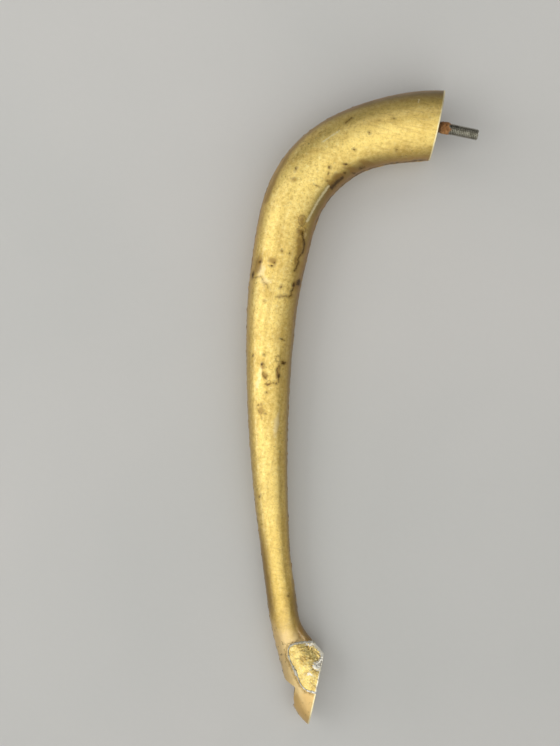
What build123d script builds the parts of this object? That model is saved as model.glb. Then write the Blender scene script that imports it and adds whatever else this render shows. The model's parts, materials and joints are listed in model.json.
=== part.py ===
from build123d import *
import math
import os

# A hollow brass pull handle, lying on its side. The door's face is the plane x = 0: the handle
# stands out from it towards -X, the stud goes into the door along +X, +Y runs from the foot up
# to the mouth, and z = 0 is the plane of symmetry. The origin is where the stud's axis meets
# the door's face. Lengths are in millimetres and turns in degrees.

# Sheet brass shells
WALL = 1.4
SEAM_WIDTH = 0.5

# Centreline of the tapered tube, from the door's face outwards
MOUTH_OFFSET = 1.2
MOUTH_TILT = 14.0
BENDS = [(190.0, 16.0), (78.0, 57.2), (408.0, 11.8), (960.0, 11.9)]
STATION_PITCH = 30.0

# Outer radius of the tube: a straight collar, an easing to the shoulder, then one long taper
MOUTH_RADIUS = 23.6
COLLAR_LENGTH = 24.0
SHOULDER_RADIUS = 22.2
SHOULDER_AT = 60.0
TAPER_FROM = 84.0
NECK_RADIUS = 10.0
TAPER_TO = 365.0

# Foot: the two curves that its ridge and its heel follow in the symmetry plane, from the neck on
TOE_CURVE = [(-33.0, -380.0), (-23.0, -400.0), (-11.0, -419.5), (0.0, -428.5), (14.0, -435.0)]
HEEL_CURVE = [(-15.0, -365.0), (0.0, -377.0), (10.0, -384.0)]
TOE_END = (1.0, -0.35)
HEEL_END = (1.0, -0.6)
FOOT_HALF_DEPTH = 13.0
FOOT_STATIONS = 5
FOOT_WALL = 1.6

# Piece broken out of the toe's ridge
NOTCH = [(-26.0, -398.6), (-15.0, -402.3), (-14.4, -410.6), (-12.2, -417.0), (-26.0, -417.0)]
NOTCH_CORNER = 1.2

# Patch soldered into the near side of the foot, by the corners of its outline round from the door
PATCH_CORNERS = [
    (4.0, -373.0),
    (-8.0, -370.6),
    (-18.9, -371.8),
    (-24.4, -375.4),
    (-23.4, -382.2),
    (-15.4, -393.0),
    (-12.6, -397.6),
    (-6.4, -401.7),
    (4.0, -402.3),
]
PATCH_MIDDLE = (-9.0, -386.0)
PATCH_PROUD = 0.35
PATCH_SOLDER = 0.8

# Stud and what holds it inside the mouth
STUD_RADIUS = 4.0
THREAD_RADIUS = 3.6
STUD_REACH = 29.0
STUD_TAIL = 22.0
STUD_CHAMFER = 0.6
BRIDGE_FRONT = -12.0
BRIDGE_THICKNESS = 8.0
BRIDGE_WIDTH = 16.0
WASHER_RADIUS = 8.0
WASHER_THICKNESS = 1.6
NUT_ACROSS_FLATS = 13.0
NUT_THICKNESS = 4.0
NUT_CHAMFER = 1.2

# Screw anchor inside the foot
ANCHOR_AT = (-8.0, -391.0)
ANCHOR_SIZE = (10.0, 14.0)
ANCHOR_SCREW_RADIUS = 2.1

# Solder pads that fix the bridge and the anchor to the wall
PAD_THICKNESS = 1.4
PAD_MARGIN = 2.0

# Side of the blocks that cut or extend a shape, larger than the whole handle
SLAB = 600.0


def tube_radius(distance):
    """Outer radius of the tube at a distance along the centreline."""
    if distance <= COLLAR_LENGTH:
        return MOUTH_RADIUS
    if distance <= SHOULDER_AT:
        share = (distance - COLLAR_LENGTH) / (SHOULDER_AT - COLLAR_LENGTH)
        ease = share * share * (3 - 2 * share)
        return MOUTH_RADIUS + (SHOULDER_RADIUS - MOUTH_RADIUS) * ease
    share = min(max((distance - TAPER_FROM) / (TAPER_TO - TAPER_FROM), 0.0), 1.0)
    return SHOULDER_RADIUS + (NECK_RADIUS - SHOULDER_RADIUS) * share


def centreline(distance):
    """Point and heading on the centreline; the heading is measured from -X towards -Y."""
    x, y, heading = 0.0, MOUTH_OFFSET, math.radians(MOUTH_TILT)
    left = distance
    for radius, turn in BENDS:
        step = min(left, radius * math.radians(turn))
        end = heading + step / radius
        x -= radius * (math.sin(end) - math.sin(heading))
        y -= radius * (math.cos(heading) - math.cos(end))
        heading = end
        left -= step
        if left <= 0:
            break
    return x, y, heading


def tube_station(distance, inset):
    """A round section of the tube, square to the centreline."""
    x, y, heading = centreline(distance)
    plane = Plane(
        origin=(x, y, 0),
        x_dir=(-math.sin(heading), math.cos(heading), 0),
        z_dir=(-math.cos(heading), -math.sin(heading), 0),
    )
    return plane * Circle(tube_radius(distance) - inset)


def foot_stations(inset):
    """Oval sections of the foot, fanning from the neck to just beyond the door's face."""
    length = tube_length()
    x, y, heading = centreline(length)
    neck = tube_radius(length)
    along = Vector(-math.cos(heading), -math.sin(heading))
    out = Vector(-math.sin(heading), math.cos(heading))
    toe = Spline(Vector(x, y) + out * neck, *TOE_CURVE, tangents=[along, TOE_END])
    heel = Spline(Vector(x, y) - out * neck, *HEEL_CURVE, tangents=[along, HEEL_END])
    sections = []
    for i in range(1, FOOT_STATIONS + 1):
        share = i / FOOT_STATIONS
        ease = share * share * (3 - 2 * share)
        half_depth = neck + (FOOT_HALF_DEPTH - neck) * ease
        sections.append(oval(toe @ share, heel @ share, half_depth, inset))
    return sections


def oval(toe, heel, half_depth, inset):
    """An oval section from a toe point to a heel point, square to the symmetry plane."""
    across = toe - heel
    plane = Plane(origin=(toe + heel) / 2, x_dir=across, z_dir=across.rotate(Axis.Z, 90))
    return plane * Ellipse(across.length / 2 - inset * FOOT_WALL / WALL, half_depth - inset)


def door_side():
    """Everything on the door's side of the face that the handle stands on."""
    return Pos(SLAB / 2, 0, 0) * Box(SLAB, 2 * SLAB, SLAB)


def tube_length():
    """Length of the centreline from the door's face to the neck."""
    return sum(radius * math.radians(turn) for radius, turn in BENDS)


def tube(inset):
    """The handle's solid outer form, drawn in all round by an inset and cut off at the door."""
    count = round(tube_length() / STATION_PITCH)
    pitch = tube_length() / count
    stations = [tube_station(pitch * i, inset) for i in range(-1, count + 1)]
    stations += foot_stations(inset)
    return loft([station.face() for station in stations]) - door_side()


def block(center, size):
    """A plain block from its middle and its three sides."""
    return Pos(*center) * Box(*size)


def rod(radius, low, high):
    """A round bar along the stud's axis, between two distances from the door's face."""
    return Pos((low + high) / 2, 0, 0) * Rot(0, 90, 0) * Cylinder(radius, high - low)


def notch():
    """The bite in the toe's ridge, right through both shells."""
    bite = extrude(make_face(Polyline(*NOTCH, close=True)), SLAB, both=True)
    return fillet(bite.edges().filter_by(Axis.Z), NOTCH_CORNER)


def patch_block(margin):
    """The patch's outline, grown by a margin, as a block over the near side of the foot."""
    middle = Vector(*PATCH_MIDDLE)
    corners = [Vector(*corner) for corner in PATCH_CORNERS]
    corners = [corner + (corner - middle).normalized() * margin for corner in corners]
    door_edge = Polyline(corners[-2], corners[-1], corners[0], corners[1])
    outline = make_face(Spline(*corners[1:-1]) + door_edge)
    return Pos(0, 0, SEAM_WIDTH / 2) * extrude(outline, 2 * FOOT_HALF_DEPTH)


def band(wall, low, high):
    """The part of the wall between two heights."""
    return wall & block((0, 0, (low + high) / 2), (2 * SLAB, 2 * SLAB, high - low))


def body_pieces(outer, cavity):
    """The pressed half shells, and the brazed seams along the ridge and along the inner side."""
    wall = outer - cavity - notch()
    seams = band(wall, -SEAM_WIDTH / 2, SEAM_WIDTH / 2).solids()
    toe, inner, ridge = seams.sort_by(Axis.Y)
    return {
        "near_half_shell": band(wall, SEAM_WIDTH / 2, SLAB / 2) - patch_block(PATCH_SOLDER),
        "far_half_shell": band(wall, -SLAB / 2, -SEAM_WIDTH / 2),
        "ridge_seam_braze": ridge,
        "toe_seam_braze": toe,
        "inner_seam_braze": inner,
    }


def repair_pieces(cavity):
    """The patch on the foot, standing a little proud, and the bead of solder round it."""
    sheet = tube(-PATCH_PROUD) - cavity
    patch = patch_block(0)
    return {
        "foot_patch": sheet & patch,
        "foot_patch_solder": sheet & (patch_block(PATCH_SOLDER) - patch),
    }


def stud_pieces(cavity):
    """The stud, the bridge it is screwed into, and its washer and lock nut."""
    back = BRIDGE_FRONT - BRIDGE_THICKNESS
    nut_back = BRIDGE_FRONT + WASHER_THICKNESS
    nut_front = nut_back + NUT_THICKNESS
    thread = rod(THREAD_RADIUS, -STUD_TAIL, nut_front)
    shank = rod(STUD_RADIUS, nut_front, STUD_REACH)
    shank = chamfer(shank.edges().sort_by(Axis.X)[-1], STUD_CHAMFER)
    bar = block(((BRIDGE_FRONT + back) / 2, 0, 0), (BRIDGE_THICKNESS, SLAB, BRIDGE_WIDTH))
    hexagon = RegularPolygon(NUT_ACROSS_FLATS / 2, 6, major_radius=False)
    nut = Pos(nut_back, 0, 0) * Rot(0, 90, 0) * extrude(hexagon, NUT_THICKNESS)
    return {
        "mounting_stud": thread + shank,
        "stud_bridge": (bar & cavity) - thread,
        "stud_washer": rod(WASHER_RADIUS, BRIDGE_FRONT, nut_back) - thread,
        "stud_lock_nut": (nut & nut_cone(nut_back, nut_front)) - thread,
    }


def nut_cone(back, front):
    """The turned form that rounds off the corners of the nut on its outer side."""
    corner = NUT_ACROSS_FLATS / math.sqrt(3)
    form = rod(corner, back, front)
    return chamfer(form.edges().sort_by(Axis.X)[-1], NUT_CHAMFER / 2, NUT_CHAMFER)


def anchor_pieces(cavity):
    """The block inside the foot that takes the lower screw."""
    across, along = ANCHOR_SIZE
    anchor = block((*ANCHOR_AT, 0), (across, along, SLAB)) & cavity
    screw = Pos(0, ANCHOR_AT[1], 0) * rod(ANCHOR_SCREW_RADIUS, -2 * across, 0)
    return {"foot_anchor": anchor - screw}


def solder_pieces(cavity):
    """Solder on the inner wall, round each end of the bridge and of the anchor."""
    lining = cavity - tube(WALL + PAD_THICKNESS)
    back = BRIDGE_FRONT - BRIDGE_THICKNESS
    bridge_size = (BRIDGE_THICKNESS, SLAB, BRIDGE_WIDTH)
    bridge_pads = pads(lining, ((BRIDGE_FRONT + back) / 2, 0, 0), bridge_size, Axis.Y)
    anchor_pads = pads(lining, (*ANCHOR_AT, 0), (*ANCHOR_SIZE, SLAB), Axis.Z)
    return {
        "bridge_solder_lower": bridge_pads[0],
        "bridge_solder_upper": bridge_pads[1],
        "anchor_solder_far": anchor_pads[0],
        "anchor_solder_near": anchor_pads[1],
    }


def pads(lining, center, size, axis):
    """The two pads where a bar between the walls ends, in order along the bar."""
    grown = tuple(side + 2 * PAD_MARGIN for side in size)
    return (lining & (block(center, grown) - block(center, size))).solids().sort_by(axis)


def main():
    os.makedirs("parts", exist_ok=True)
    outer = tube(0)
    cavity = tube(WALL)
    pieces = body_pieces(outer, cavity)
    pieces.update(repair_pieces(cavity))
    pieces.update(stud_pieces(cavity))
    pieces.update(anchor_pieces(cavity))
    pieces.update(solder_pieces(cavity))
    for name, piece in pieces.items():
        export_step(piece, f"parts/{name}.step")


main()
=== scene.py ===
import json
import math

import bmesh
import bpy
from mathutils import Matrix, Vector, noise


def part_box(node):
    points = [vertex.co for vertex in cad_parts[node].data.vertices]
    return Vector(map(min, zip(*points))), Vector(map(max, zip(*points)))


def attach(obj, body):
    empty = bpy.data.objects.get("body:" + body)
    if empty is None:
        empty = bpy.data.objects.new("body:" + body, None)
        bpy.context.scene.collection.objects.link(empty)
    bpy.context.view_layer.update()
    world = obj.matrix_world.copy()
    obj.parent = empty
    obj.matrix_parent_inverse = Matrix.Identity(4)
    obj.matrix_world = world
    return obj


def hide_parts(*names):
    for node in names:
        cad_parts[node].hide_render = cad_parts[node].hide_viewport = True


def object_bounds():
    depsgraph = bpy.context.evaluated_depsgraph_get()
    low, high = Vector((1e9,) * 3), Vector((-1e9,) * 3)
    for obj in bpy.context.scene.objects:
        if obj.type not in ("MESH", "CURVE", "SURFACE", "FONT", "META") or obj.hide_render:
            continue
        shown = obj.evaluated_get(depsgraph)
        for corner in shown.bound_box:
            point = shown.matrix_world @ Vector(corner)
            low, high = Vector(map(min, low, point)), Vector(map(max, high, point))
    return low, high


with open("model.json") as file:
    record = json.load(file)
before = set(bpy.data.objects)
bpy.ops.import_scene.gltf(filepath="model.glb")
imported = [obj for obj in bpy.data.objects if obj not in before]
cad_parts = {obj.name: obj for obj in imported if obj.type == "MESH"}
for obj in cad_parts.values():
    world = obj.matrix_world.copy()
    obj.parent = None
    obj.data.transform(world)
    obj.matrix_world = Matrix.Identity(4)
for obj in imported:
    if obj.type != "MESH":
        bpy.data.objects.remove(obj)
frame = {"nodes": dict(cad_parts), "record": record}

CAD_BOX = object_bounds()
LOW, HIGH = CAD_BOX
NODES = frame["nodes"]
MM = 0.001


# ---------------------------------------------------------------- the plane the handle rests on

FLOOR_FACE_SLOPE = -0.9         # a face that the handle can rest on looks down at least this much


def resting_plane():
    """A point and the upward normal of the convex hull's lower face under the model's centre."""
    hull = bmesh.new()
    for node in NODES.values():
        hull.from_mesh(node.data)
    centre = Vector((0, 0, 0))
    area = 0.0
    for face in hull.faces:
        share = face.calc_area()
        centre += share * face.calc_center_median()
        area += share
    centre /= area
    result = bmesh.ops.convex_hull(hull, input=hull.verts, use_existing_faces=False)
    loose = [item for item in result["geom_interior"] if isinstance(item, bmesh.types.BMVert)]
    bmesh.ops.delete(hull, geom=loose, context="VERTS")
    spot = Vector((centre.x, centre.y))
    largest = 0.0
    for face in hull.faces:
        if face.normal.z > FLOOR_FACE_SLOPE:
            continue
        corners = [loop.vert.co for loop in face.loops]
        a, b, c = (Vector((p.x, p.y)) for p in corners[:3])
        turns = [(q - p).cross(spot - p) for p, q in ((a, b), (b, c), (c, a))]
        inside = all(t <= 0 for t in turns) or all(t >= 0 for t in turns)
        if inside and face.calc_area() > largest:
            largest = face.calc_area()
            point, up = corners[0].copy(), -face.normal
    hull.free()
    return point, up.normalized()


REST_POINT, UP = resting_plane()


# ---------------------------------------------------------------- camera

TURN = math.radians(12.05)      # how far the handle is turned in the frame
AIM_SHARE = (0.2705, 0.5243)    # where the camera aims, as shares of the box
CAMERA_DISTANCE = 1.05
SENSOR_HEIGHT = 36              # millimetres, as is the lens
LENS = 72.4
VIEW_DEPTH = 50

across = Vector((math.cos(TURN), math.sin(TURN), 0))
across = (across - across.dot(UP) * UP).normalized()
along = UP.cross(across)
aim = Vector((
    LOW.x + AIM_SHARE[0] * (HIGH.x - LOW.x),
    LOW.y + AIM_SHARE[1] * (HIGH.y - LOW.y),
    0,
))
eye = aim + CAMERA_DISTANCE * UP


def facing(place, direction, up_hint):
    """A matrix at place whose -Z looks along direction."""
    back = -direction.normalized()
    side = up_hint.cross(back).normalized()
    top = back.cross(side)
    turn = Matrix((side, top, back)).transposed().to_4x4()
    return Matrix.Translation(place) @ turn


camera_data = bpy.data.cameras.new("camera")
camera_data.sensor_fit = "VERTICAL"
camera_data.sensor_height = SENSOR_HEIGHT
camera_data.lens = LENS
camera_data.clip_end = VIEW_DEPTH
camera = bpy.data.objects.new("camera", camera_data)
camera.matrix_world = facing(eye, -UP, along)
bpy.context.scene.collection.objects.link(camera)
bpy.context.scene.camera = camera


# ---------------------------------------------------------------- lights

def place_light(data, spot, colour):
    """Aims a light at the handle's middle from spot, given across, along and above the frame."""
    data.color = colour
    light = bpy.data.objects.new(data.name, data)
    place = aim + spot[0] * across + spot[1] * along + spot[2] * UP
    light.matrix_world = facing(place, aim - place, along)
    bpy.context.scene.collection.objects.link(light)


def soft_light(name, spot, size, power, colour):
    """A rectangular soft light, its size in metres and its power in watts."""
    data = bpy.data.lights.new(name, "AREA")
    data.shape = "RECTANGLE"
    data.size = size[0]
    data.size_y = size[1]
    data.energy = power
    place_light(data, spot, colour)


def soft_sky(name, spot, spread, strength, colour):
    """A very wide sun, spread in degrees, which is as bright over the whole floor."""
    data = bpy.data.lights.new(name, "SUN")
    data.angle = math.radians(spread)
    data.energy = strength
    place_light(data, spot, colour)


WARM_WHITE = (1.0, 0.98, 0.94)
WORLD_COLOUR = (1.0, 0.98, 0.97, 1)
WORLD_STRENGTH = 0.15

soft_sky(
    "overhead_softbox", (0.10, -0.66, 1.0), spread=104, strength=1.80, colour=(1.0, 1.0, 0.93))
soft_light(
    "left_softbox", (-1.45, 0.20, 1.25), size=(1.0, 1.8), power=9, colour=(1.0, 1.0, 0.95))
soft_light(
    "window_light", (-2.4, 0.10, 0.55), size=(0.5, 2.2), power=9, colour=(0.96, 0.97, 1.0))
soft_light(
    "overhead_strip", (-0.03, -0.40, 1.30), size=(0.07, 1.3), power=0.75, colour=(1.0, 1.0, 0.96))
soft_light("side_strip", (1.8, 0.50, 0.35), size=(0.25, 0.5), power=3, colour=WARM_WHITE)
soft_light("upper_softbox", (0.0, 1.0, 1.0), size=(1.2, 0.5), power=1.6, colour=WARM_WHITE)

world = bpy.data.worlds.new("studio")
world.use_nodes = True
world.node_tree.nodes["Background"].inputs["Color"].default_value = WORLD_COLOUR
world.node_tree.nodes["Background"].inputs["Strength"].default_value = WORLD_STRENGTH
bpy.context.scene.world = world
bpy.context.scene.view_settings.view_transform = "Standard"


# ---------------------------------------------------------------- material helpers

class Paint:
    """A node material, with short calls for the nodes it is made of."""

    def __init__(self, name):
        self.material = bpy.data.materials.new(name)
        self.material.use_nodes = True
        self.tree = self.material.node_tree
        self.shader = self.tree.nodes["Principled BSDF"]
        coordinates = self.tree.nodes.new("ShaderNodeTexCoord")
        self.place = coordinates.outputs["Object"]
        self.normal = coordinates.outputs["Normal"]

    def put(self, socket, value):
        """Links value into socket, or sets it when it is a plain value."""
        if isinstance(value, bpy.types.NodeSocket):
            self.tree.links.new(value, socket)
        else:
            socket.default_value = value

    def math(self, operation, a, b=0.0, c=0.0):
        node = self.tree.nodes.new("ShaderNodeMath")
        node.operation = operation
        for socket, value in zip(node.inputs, (a, b, c)):
            self.put(socket, value)
        return node.outputs[0]

    def times(self, a, b):
        return self.math("MULTIPLY", a, b)

    def plus(self, a, b):
        return self.math("ADD", a, b)

    def times_plus(self, a, factor, c):
        return self.math("MULTIPLY_ADD", a, factor, c)

    def vector(self, operation, a, b=(0, 0, 0), scale=1.0):
        """A vector operation; a length or a dot product gives a number, the others a vector."""
        node = self.tree.nodes.new("ShaderNodeVectorMath")
        node.operation = operation
        self.put(node.inputs[0], a)
        self.put(node.inputs[1], b)
        self.put(node.inputs[3], scale)
        return node.outputs[1 if operation in ("LENGTH", "DOT_PRODUCT") else 0]

    def ramp(self, value, low, high, at_low=0.0, at_high=1.0):
        """A smooth step of value from at_low at low to at_high at high."""
        node = self.tree.nodes.new("ShaderNodeMapRange")
        node.interpolation_type = "SMOOTHSTEP"
        names = ("Value", "From Min", "From Max", "To Min", "To Max")
        for name, item in zip(names, (value, low, high, at_low, at_high)):
            self.put(node.inputs[name], item)
        return node.outputs["Result"]

    def noise(self, scale, detail, roughness, place=None, colour=False):
        node = self.tree.nodes.new("ShaderNodeTexNoise")
        self.put(node.inputs["Vector"], place or self.place)
        node.inputs["Scale"].default_value = scale
        node.inputs["Detail"].default_value = detail
        node.inputs["Roughness"].default_value = roughness
        return node.outputs["Color" if colour else "Fac"]

    def cells(self, scale):
        """Distance to the nearest of many scattered points."""
        node = self.tree.nodes.new("ShaderNodeTexVoronoi")
        self.put(node.inputs["Vector"], self.place)
        node.inputs["Scale"].default_value = scale
        return node.outputs["Distance"]

    def mix(self, share, a, b):
        """Colour a at share 0, colour b at share 1."""
        node = self.tree.nodes.new("ShaderNodeMix")
        node.data_type = "RGBA"
        self.put(node.inputs["Factor"], share)
        self.put(node.inputs[6], (*a, 1) if isinstance(a, tuple) else a)
        self.put(node.inputs[7], (*b, 1) if isinstance(b, tuple) else b)
        return node.outputs[2]

    def tint(self, colour, tone, share, strength):
        """The colour, turned towards tone by share times strength."""
        return self.mix(self.times(share, strength), colour, tone)

    def axes(self):
        node = self.tree.nodes.new("ShaderNodeSeparateXYZ")
        self.put(node.inputs[0], self.place)
        return node.outputs

    def towards(self, direction, low, high):
        """How far the surface looks along direction: a step between the cosines low and high."""
        return self.ramp(self.vector("DOT_PRODUCT", self.normal, direction), low, high)

    def drawing_lines(self, scales):
        """Noise stretched into fine lines; scales are for x, y and z, the lines' own smallest."""
        return self.noise(1.0, 3, 0.6, place=self.vector("MULTIPLY", self.place, scales))

    def bump(self, height, strength, distance, below=None):
        node = self.tree.nodes.new("ShaderNodeBump")
        node.inputs["Strength"].default_value = strength
        node.inputs["Distance"].default_value = distance
        self.put(node.inputs["Height"], height)
        if below is not None:
            self.put(node.inputs["Normal"], below)
        return node.outputs["Normal"]

    def finish(self, colour, roughness, normal, metallic=1.0, **plain):
        """Joins everything to the shader; plain holds values for its other sockets."""
        self.put(self.shader.inputs["Base Color"], colour)
        self.put(self.shader.inputs["Roughness"], roughness)
        self.put(self.shader.inputs["Metallic"], metallic)
        self.put(self.shader.inputs["Normal"], normal)
        for name, value in plain.items():
            self.shader.inputs[name.replace("_", " ")].default_value = value
        return self.material


FAR = 50.0      # millimetres: the gap to start from, before the nearest mark is found
PER_METRE = 1000


# Each gap is joined to the last one as it is made, which keeps few values waiting in the shader.

def spot_gap(paint, place, items):
    """Millimetres to the nearest upright ellipse (centre, half widths); less than 0 inside one."""
    nearest = FAR
    for centre, radii in items:
        offset = paint.vector("SUBTRACT", place, (centre[0] * MM, centre[1] * MM, 0))
        shares = (PER_METRE / radii[0], PER_METRE / radii[1], 0)
        scaled = paint.vector("MULTIPLY", offset, shares)
        size = math.sqrt(radii[0] * radii[1])
        gap = paint.times_plus(paint.vector("LENGTH", scaled), size, -size)
        nearest = paint.math("MINIMUM", nearest, gap)
    return nearest


def ring_gap(paint, place, items):
    """Millimetres to the outline of the nearest ellipse (centre, half widths)."""
    nearest = FAR
    for item in items:
        inside = spot_gap(paint, place, [item])
        nearest = paint.math("MINIMUM", nearest, paint.math("ABSOLUTE", inside))
    return nearest


def run_gap(paint, place, items, nearest=FAR):
    """Millimetres to the nearest run of liquid (points, half width), if that is under nearest."""
    for points, width in items:
        for a, b in zip(points, points[1:]):
            span = Vector((b[0] - a[0], b[1] - a[1], 0)) * MM
            offset = paint.vector("SUBTRACT", place, (a[0] * MM, a[1] * MM, 0))
            reach = paint.vector("DOT_PRODUCT", offset, tuple(span))
            share = paint.times(reach, 1 / span.length_squared)
            share = paint.math("MINIMUM", paint.math("MAXIMUM", share, 0.0), 1.0)
            foot = paint.vector("SCALE", tuple(span), scale=share)
            miss = paint.vector("SUBTRACT", offset, foot)
            miss = paint.vector("MULTIPLY", miss, (PER_METRE, PER_METRE, 0))
            gap = paint.math("SUBTRACT", paint.vector("LENGTH", miss), width)
            nearest = paint.math("MINIMUM", nearest, gap)
    return nearest


# ---------------------------------------------------------------- brass of the shells

SATIN_BRASS = (0.92, 0.70, 0.22)
DEEP_BRASS = (0.82, 0.58, 0.155)
CLOUDED_BRASS = (0.62, 0.40, 0.09)
LIGHT_SPECKS = (1.0, 0.86, 0.40)
DARK_SPECKS = (0.52, 0.33, 0.07)
FINE_SPECKS = (0.44, 0.27, 0.06)
GRIP_LINES = (0.56, 0.36, 0.10)
COLLAR_LINES = (0.54, 0.34, 0.09)
WORN_FOOT = (0.90, 0.68, 0.36)
WORN_TOE = (0.80, 0.53, 0.20)
# the next four colours are painted shade and reflection; the fifth is part tarnished metal, part
# painted shade
SIDE_PAINTED_SHADE = (0.42, 0.27, 0.065)
DOOR_PAINTED_SHADE = (0.20, 0.125, 0.03)
TOP_PAINTED_SHADE = (0.17, 0.105, 0.028)
NECK_PAINTED_SHADE = (0.25, 0.155, 0.04)
SEAM_TARNISH_AND_SHADE = (0.50, 0.24, 0.04)
SEAM_PITS = (0.08, 0.045, 0.015)
FRECKLES = (0.22, 0.13, 0.03)
PALE_STAIN = (0.86, 0.72, 0.42)
BROWN_STAIN = (0.31, 0.17, 0.035)
TIDE_STAIN = (0.26, 0.15, 0.035)
HALO_STAIN = (0.30, 0.165, 0.03)
BLACK_STAIN = (0.085, 0.043, 0.006)
# the next colour is for bright scratches and a painted highlight streak; the one after is for bare
# rims with a painted highlight along them
BRIGHT_SCRATCH_AND_HIGHLIGHT = (1.0, 0.90, 0.55)
BARE_RIM_AND_HIGHLIGHT = (1.0, 0.90, 0.58)

# the two ends of each smooth step from one part of the surface to another, in metres of x or y
RIM_X = (-0.0012, -0.0006)
COLLAR_X = (-0.062, -0.040)
OFF_COLLAR_X = (-0.045, -0.075)
GRIP_Y = (-0.055, -0.120)
HELD_Y = (-0.110, -0.190)
SEAM_Y = (-0.190, -0.080)
NECK_Y = (-0.285, -0.325)
NECK_END_Y = (-0.364, -0.350)
HEEL_Y = (-0.325, -0.345)
FOOT_Y = (-0.350, -0.372)
TOE_Y = (-0.398, -0.410)

# The marks of age are on the side that faces up. They are in millimetres of x and y: a spot, patch
# or ring is its centre and half widths, and a run or scratch is its points and half width.
DARK_SPOTS = [
    ((-45.7, -17.0), (0.6, 0.5)), ((-52.8, -30.0), (0.8, 0.7)), ((-24.8, -23.7), (0.5, 0.4)),
    ((-66.8, -45.3), (0.8, 0.7)), ((-89.2, -51.0), (0.6, 0.8)), ((-56.3, -40.4), (1.4, 0.5)),
    ((-56.0, -46.6), (1.1, 0.8)), ((-50.2, -44.6), (1.4, 0.5)),
    ((-66.4, -54.3), (0.6, 0.5)), ((-67.0, -49.5), (0.4, 1.0)), ((-72.6, -59.2), (0.9, 0.35)),
    ((-71.0, -126.2), (1.8, 3.0)), ((-74.1, -128.6), (1.2, 2.2)), ((-100.5, -117.8), (0.9, 1.1)),
    ((-91.9, -119.1), (1.1, 0.5)), ((-90.4, -117.2), (0.6, 0.6)), ((-103.3, -127.4), (0.9, 2.2)),
    ((-82.6, -132.0), (0.6, 0.5)), ((-92.1, -144.0), (0.5, 0.5)), ((-81.6, -108.1), (0.5, 0.5)),
    ((-87.3, -108.0), (0.4, 0.4)), ((-70.3, -182.5), (1.6, 1.4)), ((-84.3, -186.4), (0.9, 1.1)),
    ((-71.3, -192.4), (1.0, 2.0)), ((-72.2, -197.4), (0.6, 0.6)), ((-74.0, -197.7), (0.5, 0.5)),
    ((-76.7, -205.4), (0.6, 0.5)), ((-92.0, -182.1), (0.5, 1.1)), ((-83.9, -179.6), (0.4, 0.4)),
    ((-79.2, -213.8), (0.4, 0.5)), ((-81.0, -214.9), (0.5, 0.7)), ((-74.6, -167.3), (1.3, 0.4)),
    ((-67, -277), (0.5, 0.7)), ((-33, -341), (0.6, 0.5)), ((-30.8, -4.2), (0.7, 0.4)),
]
BROWN_PATCHES = [
    ((-77.7, -84.5), (1.6, 3.0)), ((-77.4, -92.4), (2.4, 2.4)), ((-76.4, -98.6), (1.8, 3.2)),
    ((-75.8, -104.5), (1.6, 5.0)), ((-76.2, -112.0), (1.2, 4.0)), ((-101.0, -119.5), (2.6, 7.0)),
    ((-91.5, -115.6), (2.4, 2.0)), ((-72.2, -189.5), (1.3, 5.0)), ((-80.8, -194.0), (1.6, 2.4)),
    ((-83.2, -188.0), (1.4, 1.8)), ((-77.6, -199.6), (1.6, 0.9)), ((-78.6, -218.0), (1.4, 3.0)),
    ((-58.5, -50.5), (5.0, 3.0)), ((-61.5, -56.0), (4.0, 3.2)), ((-50.0, -42.8), (7.0, 1.6)),
    ((-64.2, -64.0), (1.5, 5.0)), ((-89.0, -58.5), (1.6, 1.1)), ((-72.4, -128.4), (2.2, 3.6)),
    ((-41.0, -36.5), (6.0, 1.5)), ((-19.0, -361.5), (2.0, 6.5)), ((-11.5, -369.3), (5.0, 1.3)),
]
BROWN_EDGE = [
    ([(-52.0, 3.5), (-66.0, -4.0), (-79.5, -14.5), (-88.5, -25.0), (-97.0, -41.0),
      (-102.0, -58.0), (-105.5, -76.0)], 1.4),
]
PALE_PATCHES = [
    ((-98.2, -124.0), (2.6, 5.0)), ((-94.0, -130.0), (3.6, 2.2)), ((-66, -225), (1.6, 8.0)),
    ((-84.5, -196.0), (1.4, 9.0)), ((-73.9, -93.6), (0.8, 2.2)),
]
TIDE_RINGS = [
    ((-77.7, -84.3), (2.3, 3.6)), ((-76.5, -90.1), (2.9, 1.7)), ((-74.4, -180.8), (1.6, 1.9)),
    ((-77.3, -198.3), (1.6, 1.4)),
]
RUNS = [
    ([(-76.0, -92.6), (-74.7, -95.8), (-72.8, -101.1), (-73.2, -105.6)], 0.80),
    ([(-73.2, -105.6), (-74.7, -109.1), (-74.2, -112.8), (-75.9, -119.6)], 0.60),
    ([(-74.1, -131.3), (-75.1, -134.0), (-74.0, -136.3), (-75.6, -137.6)], 0.55),
    ([(-75.6, -137.6), (-78.5, -137.6), (-81.2, -138.0), (-84.4, -139.5)], 0.22),
    ([(-102.6, -129.1), (-97.1, -127.9), (-95.1, -131.3), (-92.3, -132.6),
      (-91.1, -134.9)], 0.05),
    ([(-72.8, -185.0), (-73.4, -187.9), (-72.2, -190.4)], 0.50),
    ([(-70.9, -194.1), (-71.1, -196.3)], 0.40),
    ([(-82.0, -192.0), (-82.3, -193.7), (-80.2, -195.0), (-79.3, -193.6)], 0.28),
    ([(-79.4, -199.5), (-77.6, -200.5), (-76.0, -198.9)], 0.30),
    ([(-80.9, -217.6), (-78.8, -220.0), (-74.4, -219.6)], 0.0),
    ([(-76.4, -218.1), (-78.0, -220.6), (-77.1, -223.8)], 0.0),
    ([(-61.8, -12.9), (-59.4, -8.8)], 0.30), ([(-47.0, -41.2), (-43.5, -38.7)], 0.55),
    ([(-57.0, -49.4), (-59.8, -53.2), (-62.6, -58.0)], 1.30),
    ([(-20.5, -369.9), (-26.9, -374.4), (-25.7, -382.8), (-17.3, -393.8), (-14.3, -398.6)], 0.10),
    ([(-14.3, -398.6), (-7.4, -403.7), (-2.0, -404.0)], 0.05),
]
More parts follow.
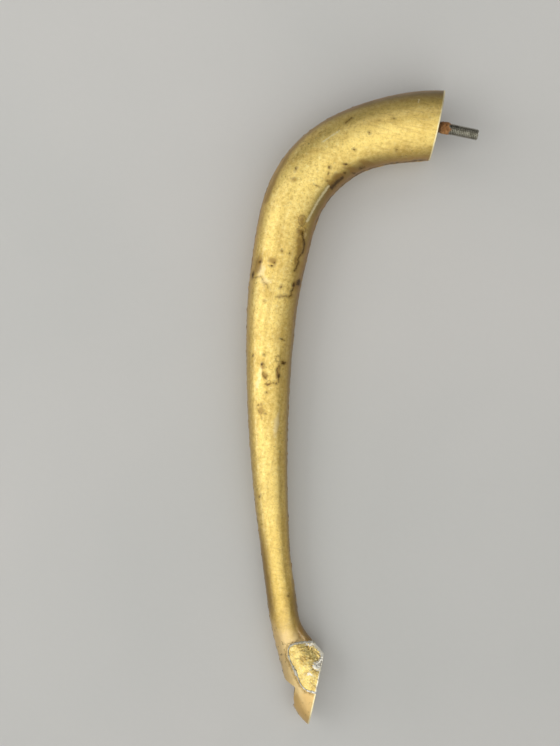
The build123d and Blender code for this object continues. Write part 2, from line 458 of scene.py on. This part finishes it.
# the first three are real scratches; the last, along the inner bend, is a painted highlight
BRIGHT_SCRATCHES_AND_HIGHLIGHT = [
    ([(-75.2, -29.4), (-65.6, -19.5)], 0.10), ([(-16.7, 12.7), (-16.9, 10.2)], 0.12),
    ([(-33, 15), (-36, 13.4)], 0.10), ([(-65.0, -57.5), (-70.0, -69.0), (-74.3, -84.0)], 0.45),
]


def shell_brass():
    """Cloudy lacquered brass: drawing lines, wear, tarnished freckles, a pitted seam, stains, bare
    rims, painted shade and reflection on its sides, and painted highlights on its rims and inner
    bend.
    """
    paint = Paint("shell_brass")
    x, y, z = paint.axes()
    wide = paint.noise(16, 3, 0.5)
    medium = paint.noise(75, 4, 0.6)
    fine = paint.noise(430, 4, 0.70)
    grain = paint.noise(1300, 3, 0.6)

    # cloudy lacquer, with specks that are fainter on the collar
    colour = paint.mix(paint.ramp(wide, 0.35, 0.68), SATIN_BRASS, DEEP_BRASS)
    colour = paint.mix(paint.ramp(medium, 0.46, 0.74, 0.0, 0.55), colour, CLOUDED_BRASS)
    off_collar = paint.ramp(x, *OFF_COLLAR_X, 0.65, 1.0)
    light = paint.times(paint.ramp(fine, 0.50, 0.68, 0.0, 0.60), off_collar)
    colour = paint.mix(light, colour, LIGHT_SPECKS)
    dark = paint.times(paint.ramp(fine, 0.50, 0.34, 0.0, 0.58), off_collar)
    colour = paint.mix(dark, colour, DARK_SPECKS)
    speckled = paint.times(paint.ramp(grain, 0.54, 0.68, 0.0, 0.48), off_collar)
    colour = paint.mix(speckled, colour, FINE_SPECKS)

    # faint drawing lines run along the tube: along y on the grip, along x on the collar
    on_grip = paint.ramp(y, *GRIP_Y)
    lines = paint.drawing_lines((480, 14, 480))
    lines = paint.times(paint.ramp(lines, 0.45, 0.70, 0.0, 0.40), on_grip)
    colour = paint.mix(lines, colour, GRIP_LINES)
    on_collar = paint.ramp(x, *COLLAR_X)
    lines = paint.drawing_lines((60, 620, 620))
    lines = paint.times(paint.ramp(lines, 0.47, 0.70, 0.0, 0.45), on_collar)
    colour = paint.mix(lines, colour, COLLAR_LINES)

    # lacquer worn off the foot leaves a duller metal, with an uneven edge
    uneven_y = paint.times_plus(paint.math("SUBTRACT", medium, 0.5), 0.04, y)
    foot = paint.ramp(uneven_y, *FOOT_Y)
    colour = paint.tint(colour, WORN_FOOT, foot, 0.75)
    toe = paint.ramp(uneven_y, *TOE_Y)
    colour = paint.tint(colour, WORN_TOE, toe, 0.75)

    # painted shade: the sides are darkened where the surface turns away from straight up, fainter
    # on the worn foot
    slope = paint.vector("DOT_PRODUCT", paint.normal, (0, 0, 1))
    side = paint.ramp(paint.math("ABSOLUTE", slope), 0.90, 0.25)
    side = paint.times(side, paint.ramp(fine, 0.30, 0.60, 1.0, 0.75))
    side = paint.times(side, paint.ramp(uneven_y, *FOOT_Y, 1.0, 0.20))
    colour = paint.tint(colour, SIDE_PAINTED_SHADE, side, 0.58)

    # painted reflection and shade, not tarnished metal: these sides are darkened to stand in for
    # the photograph's dark carpet, which they reflect there: towards the door, the top of the
    # bend, the outside of the neck, and the heel
    door_shade = paint.towards((0.86, -0.51, 0), 0.50, 0.88)
    colour = paint.tint(colour, DOOR_PAINTED_SHADE, door_shade, 0.82)
    top_shade = paint.towards((0, 1, 0), 0.45, 0.85)
    colour = paint.tint(colour, TOP_PAINTED_SHADE, top_shade, 0.88)
    neck_shade = paint.towards((-1, 0, 0), 0.15, 0.80)
    neck_shade = paint.times(neck_shade, paint.ramp(y, *NECK_Y))
    neck_shade = paint.times(neck_shade, paint.ramp(y, *NECK_END_Y))
    colour = paint.tint(colour, NECK_PAINTED_SHADE, neck_shade, 0.80)
    heel_shade = paint.towards((0.75, 0.66, 0), 0.35, 0.85)
    heel_shade = paint.times(heel_shade, paint.ramp(y, *HEEL_Y))
    colour = paint.tint(colour, DOOR_PAINTED_SHADE, heel_shade, 0.75)

    # a brown band, partly tarnished metal and partly painted shade darkening the tube's edges, and
    # a dark, pitted line follow the brazed seam, most of all round the bend
    uneven_z = paint.times_plus(paint.math("SUBTRACT", medium, 0.5), 0.012, z)
    away = paint.math("ABSOLUTE", uneven_z)
    bent = paint.ramp(y, *SEAM_Y, 0.25, 1.0)
    seam_tarnish_and_shade = paint.times(paint.ramp(away, 0.0130, 0.0040), bent)
    colour = paint.tint(colour, SEAM_TARNISH_AND_SHADE, seam_tarnish_and_shade, 0.50)
    seam = paint.ramp(away, 0.0065, 0.0015)
    seam = paint.times(seam, paint.ramp(paint.noise(210, 4, 0.7), 0.38, 0.60))
    seam = paint.times(seam, bent)
    colour = paint.tint(colour, SEAM_PITS, seam, 0.85)

    # old tarnish freckles all over, on the hidden side too
    freckle_field = paint.ramp(paint.noise(22, 2, 0.5), 0.45, 0.66, 0.25, 1.0)
    freckles = paint.times(paint.ramp(paint.noise(380, 2, 0.5), 0.62, 0.70), freckle_field)
    colour = paint.tint(colour, FRECKLES, freckles, 0.62)

    # the marks of age, with edges made uneven; they fade where the surface turns steep, since
    # they are placed by x and y alone
    shift = paint.vector("SUBTRACT", paint.noise(150, 2, 0.5, colour=True), (0.5, 0.5, 0.5))
    moved = paint.vector("ADD", paint.place, paint.vector("SCALE", shift, scale=0.0030))
    near = paint.times(paint.ramp(z, 0.0, 0.002), paint.ramp(slope, 0.12, 0.42))
    cloudy = paint.times_plus(fine, -5.0, 2.5)
    ragged = paint.times_plus(grain, -3.0, 1.5)

    def stained(share, strength, tone):
        return paint.tint(colour, tone, share, paint.times(near, strength))

    pale = paint.ramp(paint.plus(spot_gap(paint, moved, PALE_PATCHES), cloudy), 1.4, -1.4)
    colour = stained(pale, 0.45, PALE_STAIN)
    gap = run_gap(paint, moved, BROWN_EDGE, spot_gap(paint, moved, BROWN_PATCHES))
    colour = stained(paint.ramp(paint.plus(gap, cloudy), 1.5, -1.5), 0.74, BROWN_STAIN)
    gap = ring_gap(paint, moved, TIDE_RINGS)
    colour = stained(paint.ramp(paint.plus(gap, ragged), 0.95, 0.0), 0.60, TIDE_STAIN)
    gap = run_gap(paint, moved, RUNS, spot_gap(paint, moved, DARK_SPOTS))
    colour = stained(paint.ramp(paint.plus(gap, cloudy), 1.9, -0.6), 0.62, HALO_STAIN)
    marks = paint.times(paint.ramp(paint.plus(gap, ragged), 0.40, -0.95), near)
    colour = paint.tint(colour, BLACK_STAIN, marks, 0.94)
    # bright scratches, and one painted highlight streak along the inner bend
    gap = run_gap(paint, paint.place, BRIGHT_SCRATCHES_AND_HIGHLIGHT)
    colour = stained(paint.ramp(paint.plus(gap, ragged), 0.55, -0.1), 0.70, BRIGHT_SCRATCH_AND_HIGHLIGHT)

    # bare bright metal on the cut rims, with a painted highlight along the edge
    rim = paint.times(paint.ramp(x, *RIM_X), paint.ramp(fine, 0.30, 0.55, 0.45, 0.90))
    colour = paint.mix(rim, colour, BARE_RIM_AND_HIGHLIGHT)

    # hands have worn the grip smoother than the bend and the collar
    worn = paint.ramp(y, *HELD_Y, 0.0, -0.08)
    roughness = paint.plus(paint.ramp(medium, 0.3, 0.7, 0.33, 0.43), worn)
    roughness = paint.times_plus(fine, 0.12, roughness)
    spoiled = paint.math("MAXIMUM", paint.math("MAXIMUM", marks, seam), paint.times(foot, 0.3))
    roughness = paint.times_plus(spoiled, 0.25, roughness)

    height = paint.times_plus(seam, -1.6, fine)
    height = paint.times_plus(grain, 0.45, height)
    normal = paint.bump(height, 0.45, 0.00050)
    normal = paint.bump(medium, 0.30, 0.0008, normal)
    return paint.finish(
        colour, roughness, normal, Coat_Weight=0.30, Coat_Roughness=0.17, Coat_IOR=1.65)


def seam_braze():
    """Rough filler of the brazed seams."""
    paint = Paint("seam_braze")
    lumps = paint.noise(500, 4, 0.65)
    colour = paint.mix(paint.ramp(lumps, 0.38, 0.65), (0.60, 0.40, 0.15), (0.16, 0.10, 0.05))
    roughness = paint.ramp(lumps, 0.3, 0.7, 0.42, 0.75)
    normal = paint.bump(lumps, 0.6, 0.0008)
    return paint.finish(colour, roughness, normal)


# solder smeared over the patch's corner towards the heel, given as the marks of age are
SOLDER_SMEARS = [
    ((-3.4, -384.4), (3.0, 2.6)), ((-7.2, -390.6), (1.4, 1.0)), ((-1.0, -376.4), (1.6, 2.0)),
]
SOLDER_RUNS = [
    ([(-13.2, -371.6), (-6.6, -371.2)], 0.7),
    ([(-6.6, -371.6), (-0.8, -375.8), (-0.9, -379.5), (-1.6, -383.0)], 1.3),
]


def patch_brass():
    """The patch's uneven, pitted brass sheet, with solder smeared on it, and its cut rim painted
    pale as bare metal with a painted highlight.
    """
    paint = Paint("patch_brass")
    x = paint.axes()["X"]
    lumps = paint.noise(190, 4, 0.62)
    fine = paint.noise(800, 3, 0.65)
    pits = paint.cells(520)
    colour = paint.mix(paint.ramp(lumps, 0.40, 0.66), (0.92, 0.72, 0.26), (0.62, 0.41, 0.12))
    colour = paint.mix(paint.ramp(fine, 0.50, 0.70, 0.0, 0.75), colour, (0.97, 0.89, 0.56))
    colour = paint.mix(paint.ramp(pits, 0.22, 0.10, 0.0, 0.50), colour, (0.35, 0.22, 0.08))
    ragged = paint.times_plus(fine, -6.0, 3.0)
    gap = run_gap(paint, paint.place, SOLDER_RUNS, spot_gap(paint, paint.place, SOLDER_SMEARS))
    smear = paint.ramp(paint.plus(gap, ragged), 0.7, -0.5)
    # the cut rim is painted pale: bare metal with a painted highlight along the edge
    rim = paint.ramp(x, *RIM_X, 0.0, 0.8)
    colour = paint.mix(
        paint.times(paint.math("MAXIMUM", smear, rim), 0.92), colour, (0.96, 0.94, 0.86))
    roughness = paint.ramp(fine, 0.3, 0.7, 0.26, 0.50)
    height = paint.times_plus(pits, 0.5, lumps)
    normal = paint.bump(height, 0.50, 0.0007)
    return paint.finish(colour, roughness, normal)


def soft_solder():
    """Lumpy tin solder, palest near the door."""
    paint = Paint("soft_solder")
    lumps = paint.noise(380, 4, 0.6)
    fine = paint.noise(1600, 2, 0.5)
    x = paint.axes()["X"]
    colour = paint.mix(paint.ramp(x, -0.019, -0.008), (0.58, 0.55, 0.46), (0.94, 0.93, 0.88))
    colour = paint.mix(paint.ramp(lumps, 0.42, 0.66, 0.0, 0.85), colour, (0.30, 0.27, 0.20))
    colour = paint.mix(paint.ramp(fine, 0.50, 0.72, 0.0, 0.4), colour, (0.92, 0.90, 0.84))
    roughness = paint.ramp(lumps, 0.3, 0.7, 0.32, 0.60)
    normal = paint.bump(lumps, 0.5, 0.0006)
    return paint.finish(colour, roughness, normal, metallic=0.75)


def dull_brass(name):
    """Brass that was never polished: brown, uneven and rough."""
    paint = Paint(name)
    cloud = paint.noise(140, 4, 0.6)
    fine = paint.noise(1100, 3, 0.6)
    colour = paint.mix(paint.ramp(cloud, 0.35, 0.68), (0.50, 0.34, 0.14), (0.24, 0.15, 0.07))
    colour = paint.mix(paint.ramp(fine, 0.5, 0.75, 0.0, 0.4), colour, (0.62, 0.44, 0.20))
    roughness = paint.ramp(cloud, 0.3, 0.7, 0.42, 0.68)
    normal = paint.bump(paint.times_plus(fine, 0.5, cloud), 0.35, 0.0005)
    return paint.finish(colour, roughness, normal)


def steel(name, rusty_below, clean_above):
    """Grey steel, all rust where x is under rusty_below and clean where it is over clean_above."""
    paint = Paint(name)
    x = paint.axes()["X"]
    cloud = paint.noise(260, 4, 0.6)
    fine = paint.noise(1800, 3, 0.6)
    uneven_x = paint.times_plus(paint.math("SUBTRACT", cloud, 0.5), 0.008, x)
    rust = paint.ramp(uneven_x, clean_above, rusty_below)
    clean = paint.mix(paint.ramp(cloud, 0.35, 0.66), (0.40, 0.385, 0.33), (0.22, 0.21, 0.17))
    clean = paint.mix(paint.ramp(fine, 0.52, 0.72, 0.0, 0.5), clean, (0.55, 0.54, 0.48))
    rust_and_shadow = paint.mix(paint.ramp(fine, 0.36, 0.64), (0.52, 0.25, 0.085), (0.22, 0.09, 0.03))
    rust_and_shadow = paint.mix(paint.ramp(cloud, 0.48, 0.66, 0.0, 0.6), rust_and_shadow, (0.62, 0.34, 0.14))
    # painted shadow: the rust is darkened towards and inside the mouth, where the mouth's shade
    # falls
    rust_and_shadow = paint.mix(paint.ramp(x, 0.0045, 0.0005, 0.0, 0.8), rust_and_shadow, (0.06, 0.03, 0.015))
    colour = paint.mix(rust, clean, rust_and_shadow)
    roughness = paint.ramp(rust, 0.0, 1.0, 0.20, 0.85)
    roughness = paint.times_plus(fine, 0.14, roughness)
    metal = paint.ramp(rust, 0.0, 1.0, 1.0, 0.10)
    height = paint.times(fine, paint.ramp(rust, 0.0, 1.0, 0.25, 1.0))
    normal = paint.bump(height, 0.4, 0.0004)
    return paint.finish(colour, roughness, normal, metal)


MATERIALS = {
    "shell_brass": shell_brass(),
    "seam_braze": seam_braze(),
    "patch_brass": patch_brass(),
    "soft_solder": soft_solder(),
    "inner_brass": dull_brass("inner_brass"),
    "hollow_brass": dull_brass("hollow_brass"),
    "stud_steel": steel("stud_steel", 0.0085, 0.0100),
    "nut_steel": steel("nut_steel", -0.004, 0.002),
}
SLOT_OF = {part["node"]: part["material_slot"] for part in frame["record"]["subparts"]}


# ---------------------------------------------------------------- the CAD pieces that stay

SKIN_BEND = 30                  # degrees between two faces of one smooth skin, at most
NODE_CREASE = 35                # degrees from which an edge is shaded sharp
STUD_CREASE = 50
MICRONS = 1e6


def skins(mesh):
    """Sets of faces that meet smoothly, the largest first."""
    bend = math.cos(math.radians(SKIN_BEND))
    at = [tuple(round(c * MICRONS) for c in vert.co) for vert in mesh.vertices]
    across_edge = {}
    for face in mesh.polygons:
        for a, b in face.edge_keys:
            key = tuple(sorted((at[a], at[b])))
            across_edge.setdefault(key, []).append(face.index)
    neighbours = [[] for _ in mesh.polygons]
    for pair in across_edge.values():
        if len(pair) == 2:
            a, b = pair
            if mesh.polygons[a].normal.dot(mesh.polygons[b].normal) > bend:
                neighbours[a].append(b)
                neighbours[b].append(a)
    found = []
    seen = set()
    for start in range(len(neighbours)):
        if start in seen:
            continue
        seen.add(start)
        group = [start]
        for index in group:
            for other in neighbours[index]:
                if other not in seen:
                    seen.add(other)
                    group.append(other)
        found.append(group)
    found.sort(key=lambda group: -sum(mesh.polygons[i].area for i in group))
    return found


for name, node in NODES.items():
    node.data.materials.clear()
    node.data.materials.append(MATERIALS[SLOT_OF[name]])
    node.data.shade_smooth()
    node.data.set_sharp_from_angle(angle=math.radians(NODE_CREASE))

# the hollow inside of each shell, its second largest skin, was never polished
for name in ("near_half_shell", "far_half_shell"):
    mesh = NODES[name].data
    mesh.materials.append(MATERIALS["hollow_brass"])
    for index in skins(mesh)[1]:
        mesh.polygons[index].material_index = 1


# ---------------------------------------------------------------- new pieces

def new_piece(name, work, slot, replaced):
    """Turns a bmesh into a piece that stands for CAD nodes."""
    mesh = bpy.data.meshes.new(name)
    work.to_mesh(mesh)
    work.free()
    mesh.materials.append(MATERIALS[slot])
    mesh.shade_smooth()
    piece = bpy.data.objects.new(name, mesh)
    bpy.context.scene.collection.objects.link(piece)
    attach(piece, "root")
    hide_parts(*replaced)
    return piece


def ring_skin(work, rings):
    """Joins closed rings of points with quads and closes both ends with fans."""
    rows = [[work.verts.new(p) for p in ring] for ring in rings]
    count = len(rows[0])
    for low, high in zip(rows, rows[1:]):
        for i in range(count):
            j = (i + 1) % count
            work.faces.new((low[i], low[j], high[j], high[i]))
    for row, ring, flip in ((rows[0], rings[0], True), (rows[-1], rings[-1], False)):
        middle = work.verts.new(sum(ring, Vector()) / count)
        for i in range(count):
            j = (i + 1) % count
            corners = (row[j], row[i], middle) if flip else (row[i], row[j], middle)
            work.faces.new(corners)


THREAD_PITCH = 1.25 * MM
THREAD_DEPTH = 0.68 * MM
ROOT_HALF_WIDTH = 0.05          # the thread's flat root and sloping flank, as shares of the pitch
FLANK_WIDTH = 0.27
STEPS_PER_PITCH = 10
STEPS_AROUND = 56
STUD_CHAMFER = 0.7 * MM
STUD_WEAR = 0.05 * MM
RUST_FROM = 2.4 * MM            # a crust of rust swells the stud just outside the mouth
RUST_TO = 9.2 * MM
RUST_SWELL = 0.55 * MM


def rust_radius(x, angle, radius):
    """Radius of the crust of rust round the stud, well under the thread where there is none."""
    share = min(max((x - RUST_FROM) / (RUST_TO - RUST_FROM), 0.0), 1.0)
    spot = Vector((x * 600, math.cos(angle) * 2.4, math.sin(angle) * 2.4))
    lumps = noise.fractal(spot, 0.8, 2.1, 4)
    swell = (0.75 + 0.45 * lumps) * math.sin(math.pi * share) ** 0.4
    return radius - THREAD_DEPTH + swell * (THREAD_DEPTH + RUST_SWELL)


def threaded_stud():
    """The M8 stud, with its real helical thread."""
    low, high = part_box("mounting_stud")
    radius = (high.z - low.z) / 2
    count = round((high.x - low.x) / THREAD_PITCH * STEPS_PER_PITCH)
    rings = []
    for k in range(count + 1):
        x = low.x + (high.x - low.x) * k / count
        inset = max(0, STUD_CHAMFER - min(x - low.x, high.x - x))
        ring = []
        for i in range(STEPS_AROUND):
            angle = math.tau * i / STEPS_AROUND
            phase = (x / THREAD_PITCH - i / STEPS_AROUND) % 1.0
            rise = min(1.0, max(0.0, (abs(phase - 0.5) - ROOT_HALF_WIDTH) / FLANK_WIDTH))
            profile = radius - THREAD_DEPTH * (1 - rise)
            spot = Vector((x * 700, math.cos(angle) * 2, math.sin(angle) * 2))
            wear = STUD_WEAR * noise.noise(spot)
            r = min(profile + wear - STUD_WEAR, radius - inset)
            r = max(r, rust_radius(x, angle, radius))
            ring.append(Vector((x, r * math.cos(angle), r * math.sin(angle))))
        rings.append(ring)
    work = bmesh.new()
    ring_skin(work, rings)
    bmesh.ops.recalc_face_normals(work, faces=work.faces)
    piece = new_piece("threaded_stud", work, "stud_steel", ["mounting_stud"])
    piece.data.set_sharp_from_angle(angle=math.radians(STUD_CREASE))


def remeshed(node_name, voxel):
    """A bmesh of the node's solid as an even net of small quads."""
    mesh = NODES[node_name].data.copy()
    item = bpy.data.objects.new("remesh_work", mesh)
    bpy.context.scene.collection.objects.link(item)
    modifier = item.modifiers.new("remesh", "REMESH")
    modifier.mode = "VOXEL"
    modifier.voxel_size = voxel
    modifier.adaptivity = 0
    evaluated = item.evaluated_get(bpy.context.evaluated_depsgraph_get())
    work = bmesh.new()
    work.from_mesh(evaluated.to_mesh())
    evaluated.to_mesh_clear()
    bpy.data.objects.remove(item)
    bpy.data.meshes.remove(mesh)
    return work


def in_box(p):
    """p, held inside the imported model's box and behind the door's face."""
    return Vector((
        min(max(p.x, LOW.x), 0),
        min(max(p.y, LOW.y), HIGH.y),
        min(max(p.z, LOW.z), HIGH.z),
    ))


def lumpy(name, node_name, voxel, slot, push):
    """Remakes the node's solid from quads of voxel millimetres, moved outwards by push(point)."""
    work = remeshed(node_name, voxel * MM)
    bmesh.ops.smooth_vert(
        work, verts=work.verts, factor=0.5, use_axis_x=True, use_axis_y=True, use_axis_z=True)
    work.normal_update()
    moves = [(vert, vert.co + push(vert.co) * MM * vert.normal) for vert in work.verts]
    for vert, place in moves:
        vert.co = in_box(place)
    new_piece(name, work, slot, [node_name])


HEEL_BLOB = Vector((-2.0, -383.6, 9.0)) * MM
BLOB_RADIUS = 5 * MM


# each push is in millimetres, from a point in metres

def patch_push(p):
    return 0.30 * noise.fractal(p * 170, 0.9, 2.2, 4) + 0.10 * noise.noise(p * 800)


def bead_push(p):
    away = (Vector((p.x, p.y, HEEL_BLOB.z)) - HEEL_BLOB).length
    blob = max(0, 1 - away / BLOB_RADIUS)
    return max(-0.15, 0.36 + 0.80 * noise.fractal(p * 230, 0.8, 2.1, 4) + 0.9 * blob)


def seam_push(p):
    return max(-0.35, 0.12 + 0.42 * noise.fractal(p * 260, 0.8, 2.1, 4))


def fillet_push(p):
    return 0.25 + 0.55 * noise.fractal(p * 200, 0.9, 2.1, 3)


lumpy("rough_foot_patch", "foot_patch", 0.35, "patch_brass", patch_push)
lumpy("solder_bead", "foot_patch_solder", 0.25, "soft_solder", bead_push)
for node_name in ("ridge_seam_braze", "toe_seam_braze", "inner_seam_braze"):
    lumpy(node_name.replace("braze", "line"), node_name, 0.22, "seam_braze", seam_push)
for node_name in (
        "bridge_solder_upper", "bridge_solder_lower", "anchor_solder_near", "anchor_solder_far"):
    lumpy(node_name.replace("solder", "fillet"), node_name, 0.40, "soft_solder", fillet_push)
threaded_stud()


# ---------------------------------------------------------------- floor

FLOOR_HALF_WIDTH = 9


def floor_material():
    """Plain pale grey, without gloss."""
    paint = Paint("pale_floor")
    cloud = paint.noise(3, 4, 0.5)
    fine = paint.noise(240, 3, 0.6)
    colour = paint.mix(paint.ramp(cloud, 0.3, 0.7), (0.60, 0.59, 0.59), (0.56, 0.56, 0.56))
    roughness = paint.ramp(fine, 0.3, 0.7, 0.75, 0.9)
    normal = paint.bump(fine, 0.15, 0.0005)
    return paint.finish(colour, roughness, normal, metallic=0.0)


floor_mesh = bpy.data.meshes.new("floor")
floor_work = bmesh.new()
bmesh.ops.create_grid(floor_work, x_segments=8, y_segments=8, size=FLOOR_HALF_WIDTH)
floor_work.to_mesh(floor_mesh)
floor_work.free()
floor_mesh.materials.append(floor_material())
floor = bpy.data.objects.new("floor", floor_mesh)
drop = (REST_POINT - aim).dot(UP)
floor.matrix_world = facing(aim + drop * UP, -UP, along)
bpy.context.scene.collection.objects.link(floor)


# ---------------------------------------------------------------- the end

bpy.context.view_layer.update()
